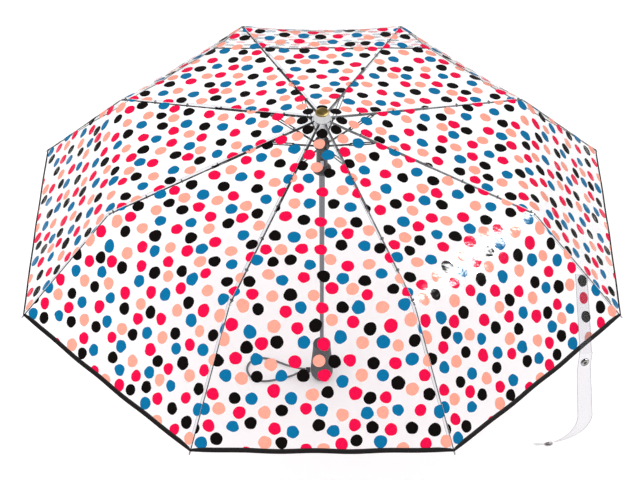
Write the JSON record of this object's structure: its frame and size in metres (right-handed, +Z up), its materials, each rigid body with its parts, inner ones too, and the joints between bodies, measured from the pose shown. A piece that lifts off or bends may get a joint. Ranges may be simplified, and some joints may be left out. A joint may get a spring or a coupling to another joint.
{
  "type": "folding umbrella",
  "caption": "Open folding umbrella with a shallow dome of clear dotted film, three-section ribs, telescopic shaft, straight handle, wrist cord and closing strap.",
  "frame": {"origin": "centre of the handle's flat end, on the shaft's axis", "axes": "+Z up the shaft towards the crown; -Y towards the middle of a canopy panel, with the wrist cord on the -X side"},
  "size_m": [0.8926, 0.8926, 0.5826],
  "materials": {
    "rib_steel": "dark grey satin lacquer",
    "rib_wire": "dark satin wire with a bright tip",
    "hem_tape": "woven edge tape",
    "grip_plastic": "satin moulded",
    "shaft_steel": "drawn tube, satin",
    "crimp_plastic": "moulded",
    "cord": "braided",
    "crown_plastic": "translucent moulded",
    "cap_metal": "aged satin",
    "clear_film": "clear film with printed dots",
    "runner_plastic": "moulded",
    "catch_steel": "pressed",
    "snap_metal": "polished"
  },
  "bodies": {
    "handle": {"handle_grip": "grip_plastic", "handle_end_plug": "grip_plastic", "lower_tube": "shaft_steel", "cord_crimp": "crimp_plastic", "wrist_cord": "cord"},
    "middle_shaft": {"middle_tube": "shaft_steel"},
    "upper_shaft": {"upper_tube": "shaft_steel", "crown": "crown_plastic", "crown_washer": "crown_plastic", "top_cap": "cap_metal", "canopy_film": "clear_film"},
    "runner": {"runner": "runner_plastic"},
    "catch": {"runner_catch": "catch_steel"},
    "inner_rib_1": {"inner_rib_1": "rib_steel"},
    "middle_rib_1": {"middle_rib_1": "rib_steel"},
    "outer_rib_1": {"outer_rib_1": "rib_wire"},
    "stretcher_1": {"stretcher_1": "rib_steel"},
    "inner_rib_2": {"inner_rib_2": "rib_steel"},
    "middle_rib_2": {"middle_rib_2": "rib_steel"},
    "outer_rib_2": {"outer_rib_2": "rib_wire"},
    "stretcher_2": {"stretcher_2": "rib_steel"},
    "inner_rib_3": {"inner_rib_3": "rib_steel"},
    "middle_rib_3": {"middle_rib_3": "rib_steel"},
    "outer_rib_3": {"outer_rib_3": "rib_wire"},
    "stretcher_3": {"stretcher_3": "rib_steel"},
    "inner_rib_4": {"inner_rib_4": "rib_steel"},
    "middle_rib_4": {"middle_rib_4": "rib_steel"},
    "outer_rib_4": {"outer_rib_4": "rib_wire"},
    "stretcher_4": {"stretcher_4": "rib_steel"},
    "inner_rib_5": {"inner_rib_5": "rib_steel"},
    "middle_rib_5": {"middle_rib_5": "rib_steel"},
    "outer_rib_5": {"outer_rib_5": "rib_wire"},
    "stretcher_5": {"stretcher_5": "rib_steel"},
    "inner_rib_6": {"inner_rib_6": "rib_steel"},
    "middle_rib_6": {"middle_rib_6": "rib_steel"},
    "outer_rib_6": {"outer_rib_6": "rib_wire"},
    "stretcher_6": {"stretcher_6": "rib_steel"},
    "inner_rib_7": {"inner_rib_7": "rib_steel"},
    "middle_rib_7": {"middle_rib_7": "rib_steel"},
    "outer_rib_7": {"outer_rib_7": "rib_wire"},
    "stretcher_7": {"stretcher_7": "rib_steel"},
    "inner_rib_8": {"inner_rib_8": "rib_steel"},
    "middle_rib_8": {"middle_rib_8": "rib_steel"},
    "outer_rib_8": {"outer_rib_8": "rib_wire"},
    "stretcher_8": {"stretcher_8": "rib_steel"},
    "panel_1": {"hem_binding_1": "hem_tape"},
    "panel_2": {"hem_binding_2": "hem_tape"},
    "panel_3": {"hem_binding_3": "hem_tape"},
    "panel_4": {"hem_binding_4": "hem_tape"},
    "panel_5": {"hem_binding_5": "hem_tape"},
    "panel_6": {"hem_binding_6": "hem_tape"},
    "panel_7": {"hem_binding_7": "hem_tape"},
    "panel_8": {"hem_binding_8": "hem_tape"},
    "strap_tab": {"strap_tab": "clear_film"},
    "strap": {"closure_strap": "clear_film", "snap_cap": "snap_metal", "snap_socket": "snap_metal"}
  },
  "joints": [
    {"name": "middle_slide", "type": "slide", "parent": "handle", "child": "middle_shaft", "axis": [0, 0, -1], "range_m": [0, 0.129]},
    {"name": "upper_slide", "type": "slide", "parent": "middle_shaft", "child": "upper_shaft", "axis": [0, 0, -1], "range_m": [0, 0.129]},
    {"name": "runner_slide", "type": "slide", "parent": "upper_shaft", "child": "runner", "axis": [0, 0, -1], "range_m": [0, 0.099], "deforming": ["canopy_film", "strap_tab"]},
    {"name": "catch_press", "type": "slide", "parent": "runner", "child": "catch", "axis": [0, 1, 0], "range_m": [0, 0.001], "stiffness_N_per_m": 300},
    {"name": "inner_rib_fold_1", "type": "hinge", "parent": "upper_shaft", "child": "inner_rib_1", "pos_m": [0.01201, 0.00498, 0.566], "axis": [-0.3827, 0.9239, 0], "range_deg": [0, 77.85]},
    {"name": "middle_rib_fold_1", "type": "hinge", "parent": "inner_rib_1", "child": "middle_rib_1", "pos_m": [0.15944, 0.06604, 0.53273], "axis": [-0.3827, 0.9239, 0], "range_deg": [-180.05, 0]},
    {"name": "outer_rib_fold_1", "type": "hinge", "parent": "middle_rib_1", "child": "outer_rib_1", "pos_m": [0.30796, 0.12756, 0.49551], "axis": [-0.3827, 0.9239, 0], "range_deg": [0, 145.32]},
    {"name": "stretcher_fold_1", "type": "hinge", "parent": "runner", "child": "stretcher_1", "pos_m": [0.00905, 0.00375, 0.518], "axis": [-0.3827, 0.9239, 0], "range_deg": [-67.07, 0]},
    {"name": "inner_rib_fold_2", "type": "hinge", "parent": "upper_shaft", "child": "inner_rib_2", "pos_m": [0.00498, 0.01201, 0.566], "axis": [-0.9239, 0.3827, 0], "range_deg": [0, 77.85]},
    {"name": "middle_rib_fold_2", "type": "hinge", "parent": "inner_rib_2", "child": "middle_rib_2", "pos_m": [0.06604, 0.15944, 0.53273], "axis": [-0.9239, 0.3827, 0], "range_deg": [-180.05, 0]},
    {"name": "outer_rib_fold_2", "type": "hinge", "parent": "middle_rib_2", "child": "outer_rib_2", "pos_m": [0.12756, 0.30796, 0.49551], "axis": [-0.9239, 0.3827, 0], "range_deg": [0, 145.32]},
    {"name": "stretcher_fold_2", "type": "hinge", "parent": "runner", "child": "stretcher_2", "pos_m": [0.00375, 0.00905, 0.518], "axis": [-0.9239, 0.3827, 0], "range_deg": [-67.07, 0]},
    {"name": "inner_rib_fold_3", "type": "hinge", "parent": "upper_shaft", "child": "inner_rib_3", "pos_m": [-0.00498, 0.01201, 0.566], "axis": [-0.9239, -0.3827, 0], "range_deg": [0, 77.85]},
    {"name": "middle_rib_fold_3", "type": "hinge", "parent": "inner_rib_3", "child": "middle_rib_3", "pos_m": [-0.06604, 0.15944, 0.53273], "axis": [-0.9239, -0.3827, 0], "range_deg": [-180.05, 0]},
    {"name": "outer_rib_fold_3", "type": "hinge", "parent": "middle_rib_3", "child": "outer_rib_3", "pos_m": [-0.12756, 0.30796, 0.49551], "axis": [-0.9239, -0.3827, 0], "range_deg": [0, 145.32]},
    {"name": "stretcher_fold_3", "type": "hinge", "parent": "runner", "child": "stretcher_3", "pos_m": [-0.00375, 0.00905, 0.518], "axis": [-0.9239, -0.3827, 0], "range_deg": [-67.07, 0]},
    {"name": "inner_rib_fold_4", "type": "hinge", "parent": "upper_shaft", "child": "inner_rib_4", "pos_m": [-0.01201, 0.00498, 0.566], "axis": [-0.3827, -0.9239, 0], "range_deg": [0, 77.85]},
    {"name": "middle_rib_fold_4", "type": "hinge", "parent": "inner_rib_4", "child": "middle_rib_4", "pos_m": [-0.15944, 0.06604, 0.53273], "axis": [-0.3827, -0.9239, 0], "range_deg": [-180.05, 0]},
    {"name": "outer_rib_fold_4", "type": "hinge", "parent": "middle_rib_4", "child": "outer_rib_4", "pos_m": [-0.30796, 0.12756, 0.49551], "axis": [-0.3827, -0.9239, 0], "range_deg": [0, 145.32]},
    {"name": "stretcher_fold_4", "type": "hinge", "parent": "runner", "child": "stretcher_4", "pos_m": [-0.00905, 0.00375, 0.518], "axis": [-0.3827, -0.9239, 0], "range_deg": [-67.07, 0]},
    {"name": "inner_rib_fold_5", "type": "hinge", "parent": "upper_shaft", "child": "inner_rib_5", "pos_m": [-0.01201, -0.00498, 0.566], "axis": [0.3827, -0.9239, 0], "range_deg": [0, 77.85]},
    {"name": "middle_rib_fold_5", "type": "hinge", "parent": "inner_rib_5", "child": "middle_rib_5", "pos_m": [-0.15944, -0.06604, 0.53273], "axis": [0.3827, -0.9239, 0], "range_deg": [-180.05, 0]},
    {"name": "outer_rib_fold_5", "type": "hinge", "parent": "middle_rib_5", "child": "outer_rib_5", "pos_m": [-0.30796, -0.12756, 0.49551], "axis": [0.3827, -0.9239, 0], "range_deg": [0, 145.32]},
    {"name": "stretcher_fold_5", "type": "hinge", "parent": "runner", "child": "stretcher_5", "pos_m": [-0.00905, -0.00375, 0.518], "axis": [0.3827, -0.9239, 0], "range_deg": [-67.07, 0]},
    {"name": "inner_rib_fold_6", "type": "hinge", "parent": "upper_shaft", "child": "inner_rib_6", "pos_m": [-0.00498, -0.01201, 0.566], "axis": [0.9239, -0.3827, 0], "range_deg": [0, 77.85]},
    {"name": "middle_rib_fold_6", "type": "hinge", "parent": "inner_rib_6", "child": "middle_rib_6", "pos_m": [-0.06604, -0.15944, 0.53273], "axis": [0.9239, -0.3827, 0], "range_deg": [-180.05, 0]},
    {"name": "outer_rib_fold_6", "type": "hinge", "parent": "middle_rib_6", "child": "outer_rib_6", "pos_m": [-0.12756, -0.30796, 0.49551], "axis": [0.9239, -0.3827, 0], "range_deg": [0, 145.32]},
    {"name": "stretcher_fold_6", "type": "hinge", "parent": "runner", "child": "stretcher_6", "pos_m": [-0.00375, -0.00905, 0.518], "axis": [0.9239, -0.3827, 0], "range_deg": [-67.07, 0]},
    {"name": "inner_rib_fold_7", "type": "hinge", "parent": "upper_shaft", "child": "inner_rib_7", "pos_m": [0.00498, -0.01201, 0.566], "axis": [0.9239, 0.3827, 0], "range_deg": [0, 77.85]},
    {"name": "middle_rib_fold_7", "type": "hinge", "parent": "inner_rib_7", "child": "middle_rib_7", "pos_m": [0.06604, -0.15944, 0.53273], "axis": [0.9239, 0.3827, 0], "range_deg": [-180.05, 0]},
    {"name": "outer_rib_fold_7", "type": "hinge", "parent": "middle_rib_7", "child": "outer_rib_7", "pos_m": [0.12756, -0.30796, 0.49551], "axis": [0.9239, 0.3827, 0], "range_deg": [0, 145.32]},
    {"name": "stretcher_fold_7", "type": "hinge", "parent": "runner", "child": "stretcher_7", "pos_m": [0.00375, -0.00905, 0.518], "axis": [0.9239, 0.3827, 0], "range_deg": [-67.07, 0]},
    {"name": "inner_rib_fold_8", "type": "hinge", "parent": "upper_shaft", "child": "inner_rib_8", "pos_m": [0.01201, -0.00498, 0.566], "axis": [0.3827, 0.9239, 0], "range_deg": [0, 77.85]},
    {"name": "middle_rib_fold_8", "type": "hinge", "parent": "inner_rib_8", "child": "middle_rib_8", "pos_m": [0.15944, -0.06604, 0.53273], "axis": [0.3827, 0.9239, 0], "range_deg": [-180.05, 0]},
    {"name": "outer_rib_fold_8", "type": "hinge", "parent": "middle_rib_8", "child": "outer_rib_8", "pos_m": [0.30796, -0.12756, 0.49551], "axis": [0.3827, 0.9239, 0], "range_deg": [0, 145.32]},
    {"name": "stretcher_fold_8", "type": "hinge", "parent": "runner", "child": "stretcher_8", "pos_m": [0.00905, -0.00375, 0.518], "axis": [0.3827, 0.9239, 0], "range_deg": [-67.07, 0]},
    {"name": "panel_fold_1", "type": "hinge", "parent": "upper_shaft", "child": "panel_1", "pos_m": [0.25616, 0, 0.9212], "axis": [0, 1, 0], "range_deg": [0, 40.87], "deforming": ["hem_binding_1"]},
    {"name": "panel_fold_2", "type": "hinge", "parent": "upper_shaft", "child": "panel_2", "pos_m": [0.18113, 0.18113, 0.9212], "axis": [-0.7071, 0.7071, 0], "range_deg": [0, 40.87], "deforming": ["hem_binding_2"]},
    {"name": "panel_fold_3", "type": "hinge", "parent": "upper_shaft", "child": "panel_3", "pos_m": [0, 0.25616, 0.9212], "axis": [-1, 0, 0], "range_deg": [0, 40.87], "deforming": ["hem_binding_3"]},
    {"name": "panel_fold_4", "type": "hinge", "parent": "upper_shaft", "child": "panel_4", "pos_m": [-0.18113, 0.18113, 0.9212], "axis": [-0.7071, -0.7071, 0], "range_deg": [0, 40.87], "deforming": ["hem_binding_4"]},
    {"name": "panel_fold_5", "type": "hinge", "parent": "upper_shaft", "child": "panel_5", "pos_m": [-0.25616, 0, 0.9212], "axis": [0, -1, 0], "range_deg": [0, 40.87], "deforming": ["hem_binding_5"]},
    {"name": "panel_fold_6", "type": "hinge", "parent": "upper_shaft", "child": "panel_6", "pos_m": [-0.18113, -0.18113, 0.9212], "axis": [0.7071, -0.7071, 0], "range_deg": [0, 40.87], "deforming": ["hem_binding_6"]},
    {"name": "panel_fold_7", "type": "hinge", "parent": "upper_shaft", "child": "panel_7", "pos_m": [0, -0.25616, 0.9212], "axis": [1, 0, 0], "range_deg": [0, 40.87], "deforming": ["hem_binding_7"]},
    {"name": "panel_fold_8", "type": "hinge", "parent": "upper_shaft", "child": "panel_8", "pos_m": [0.18113, -0.18113, 0.9212], "axis": [0.7071, 0.7071, 0], "range_deg": [0, 40.87], "deforming": ["hem_binding_8"]},
    {"name": "strap_gather", "type": "slide", "parent": "panel_8", "child": "strap_tab", "axis": [-0.7071, -0.7071, 0], "range_m": [0, 0.0992]},
    {"name": "strap_hang", "type": "hinge", "parent": "strap_tab", "child": "strap", "pos_m": [0.38486, -0.25096, 0.33837], "axis": [0.7071, 0.7071, 0], "range_deg": [-55.87, 0]}
  ],
  "couplings": [
    {"joint": "inner_rib_fold_1", "follows": "runner_slide", "rad_per_m": 13.716},
    {"joint": "middle_rib_fold_1", "follows": "runner_slide", "rad_per_m": -31.733},
    {"joint": "outer_rib_fold_1", "follows": "runner_slide", "rad_per_m": 25.611},
    {"joint": "stretcher_fold_1", "follows": "runner_slide", "rad_per_m": -11.816},
    {"joint": "inner_rib_fold_2", "follows": "runner_slide", "rad_per_m": 13.716},
    {"joint": "middle_rib_fold_2", "follows": "runner_slide", "rad_per_m": -31.733},
    {"joint": "outer_rib_fold_2", "follows": "runner_slide", "rad_per_m": 25.611},
    {"joint": "stretcher_fold_2", "follows": "runner_slide", "rad_per_m": -11.816},
    {"joint": "inner_rib_fold_3", "follows": "runner_slide", "rad_per_m": 13.716},
    {"joint": "middle_rib_fold_3", "follows": "runner_slide", "rad_per_m": -31.733},
    {"joint": "outer_rib_fold_3", "follows": "runner_slide", "rad_per_m": 25.611},
    {"joint": "stretcher_fold_3", "follows": "runner_slide", "rad_per_m": -11.816},
    {"joint": "inner_rib_fold_4", "follows": "runner_slide", "rad_per_m": 13.716},
    {"joint": "middle_rib_fold_4", "follows": "runner_slide", "rad_per_m": -31.733},
    {"joint": "outer_rib_fold_4", "follows": "runner_slide", "rad_per_m": 25.611},
    {"joint": "stretcher_fold_4", "follows": "runner_slide", "rad_per_m": -11.816},
    {"joint": "inner_rib_fold_5", "follows": "runner_slide", "rad_per_m": 13.716},
    {"joint": "middle_rib_fold_5", "follows": "runner_slide", "rad_per_m": -31.733},
    {"joint": "outer_rib_fold_5", "follows": "runner_slide", "rad_per_m": 25.611},
    {"joint": "stretcher_fold_5", "follows": "runner_slide", "rad_per_m": -11.816},
    {"joint": "inner_rib_fold_6", "follows": "runner_slide", "rad_per_m": 13.716},
    {"joint": "middle_rib_fold_6", "follows": "runner_slide", "rad_per_m": -31.733},
    {"joint": "outer_rib_fold_6", "follows": "runner_slide", "rad_per_m": 25.611},
    {"joint": "stretcher_fold_6", "follows": "runner_slide", "rad_per_m": -11.816},
    {"joint": "inner_rib_fold_7", "follows": "runner_slide", "rad_per_m": 13.716},
    {"joint": "middle_rib_fold_7", "follows": "runner_slide", "rad_per_m": -31.733},
    {"joint": "outer_rib_fold_7", "follows": "runner_slide", "rad_per_m": 25.611},
    {"joint": "stretcher_fold_7", "follows": "runner_slide", "rad_per_m": -11.816},
    {"joint": "inner_rib_fold_8", "follows": "runner_slide", "rad_per_m": 13.716},
    {"joint": "middle_rib_fold_8", "follows": "runner_slide", "rad_per_m": -31.733},
    {"joint": "outer_rib_fold_8", "follows": "runner_slide", "rad_per_m": 25.611},
    {"joint": "stretcher_fold_8", "follows": "runner_slide", "rad_per_m": -11.816},
    {"joint": "panel_fold_1", "follows": "runner_slide", "rad_per_m": 7.1956},
    {"joint": "panel_fold_2", "follows": "runner_slide", "rad_per_m": 7.1956},
    {"joint": "panel_fold_3", "follows": "runner_slide", "rad_per_m": 7.1956},
    {"joint": "panel_fold_4", "follows": "runner_slide", "rad_per_m": 7.1956},
    {"joint": "panel_fold_5", "follows": "runner_slide", "rad_per_m": 7.1956},
    {"joint": "panel_fold_6", "follows": "runner_slide", "rad_per_m": 7.1956},
    {"joint": "panel_fold_7", "follows": "runner_slide", "rad_per_m": 7.1956},
    {"joint": "panel_fold_8", "follows": "runner_slide", "rad_per_m": 7.1956},
    {"joint": "strap_gather", "follows": "runner_slide", "ratio": 1},
    {"joint": "strap_hang", "follows": "runner_slide", "rad_per_m": -9.84}
  ]
}
